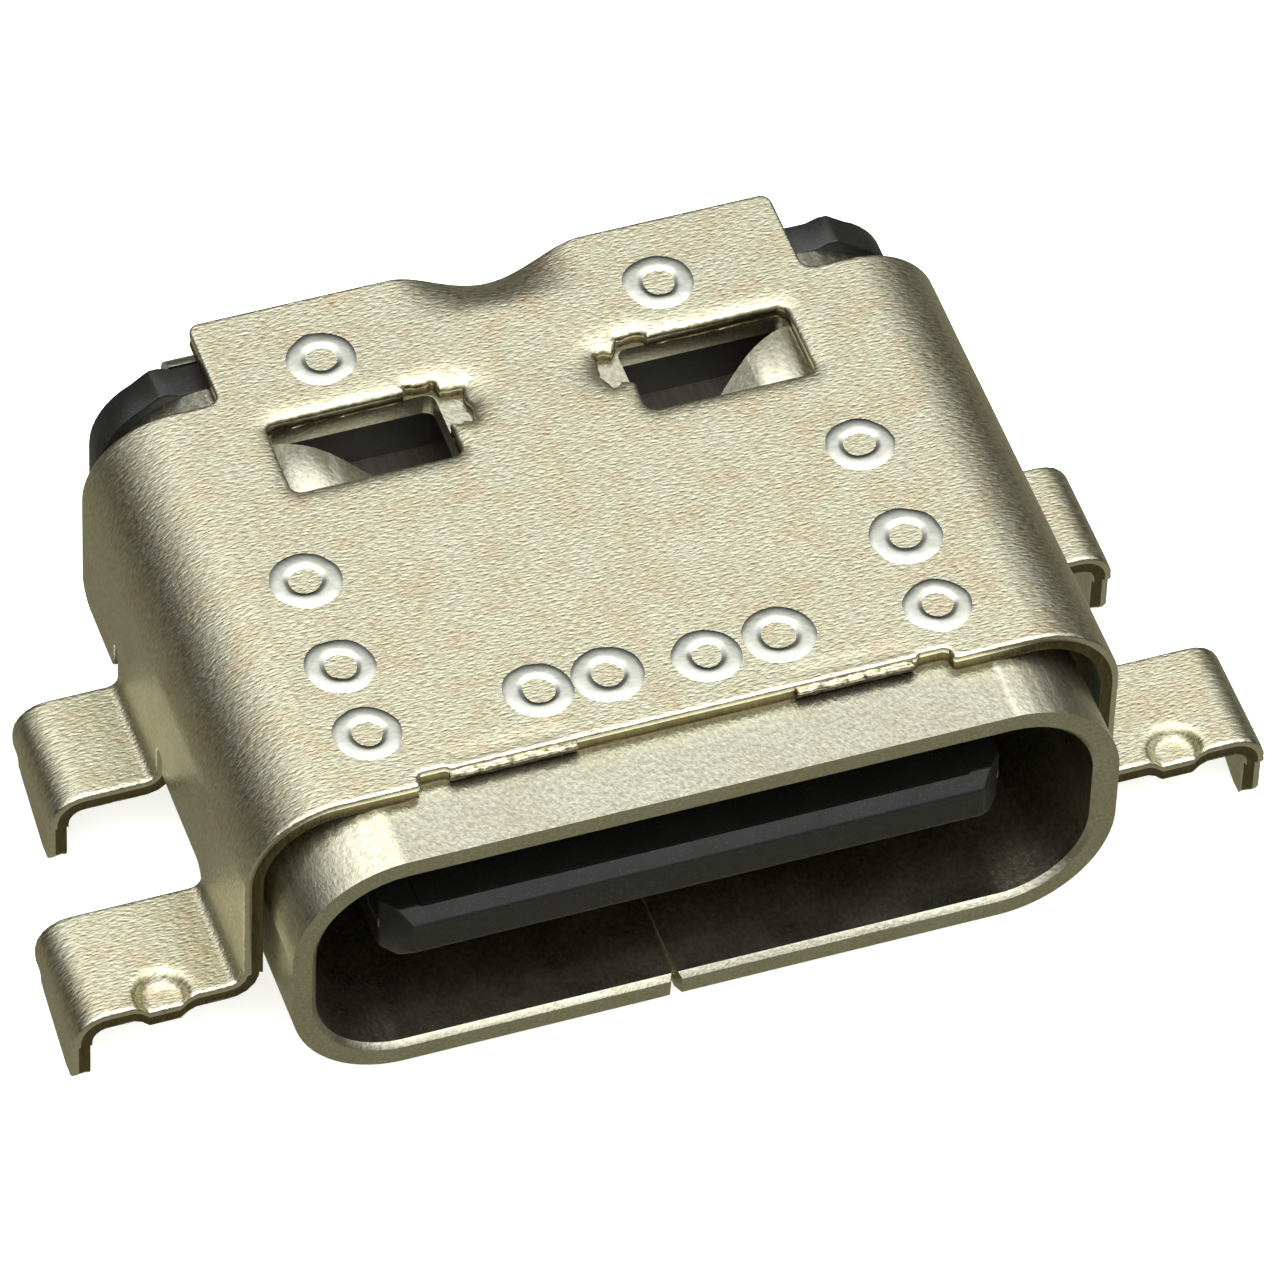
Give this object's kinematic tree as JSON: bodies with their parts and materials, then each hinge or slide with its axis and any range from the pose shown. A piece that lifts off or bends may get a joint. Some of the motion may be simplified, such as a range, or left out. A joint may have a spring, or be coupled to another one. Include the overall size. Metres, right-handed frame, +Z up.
{
  "type": "usb-c socket",
  "caption": "Board-mounted cable socket: a folded metal shell with strap legs, welded on a rounded mouth tube that holds a contact tongue.",
  "frame": {"origin": "centre of the mouth's front rim", "axes": "mouth faces -Y, +Z up, +X to the right seen from the mouth"},
  "size_m": [0.013, 0.0084, 0.0036],
  "materials": {
    "shell_steel": "satin nickel plate",
    "tube_steel": "satin nickel plate",
    "moulding": "moulded black",
    "insulator": "moulded black",
    "plate_steel": "rolled",
    "contact_gold": "gold plate"
  },
  "bodies": {
    "root": {"outer_shell": "shell_steel", "inner_shell": "tube_steel", "tongue_overmould": "moulding", "upper_insulator": "insulator", "lower_insulator": "insulator", "mid_plate": "plate_steel", "upper_ground_plate": "plate_steel", "lower_ground_plate": "plate_steel", "contact_a1": "contact_gold", "contact_a2": "contact_gold", "contact_a3": "contact_gold", "contact_a4": "contact_gold", "contact_a5": "contact_gold", "contact_a6": "contact_gold", "contact_a7": "contact_gold", "contact_a8": "contact_gold", "contact_a9": "contact_gold", "contact_a10": "contact_gold", "contact_a11": "contact_gold", "contact_a12": "contact_gold", "contact_b1": "contact_gold", "contact_b2": "contact_gold", "contact_b3": "contact_gold", "contact_b4": "contact_gold", "contact_b5": "contact_gold", "contact_b6": "contact_gold", "contact_b7": "contact_gold", "contact_b8": "contact_gold", "contact_b9": "contact_gold", "contact_b10": "contact_gold", "contact_b11": "contact_gold", "contact_b12": "contact_gold"}
  },
  "joints": []
}
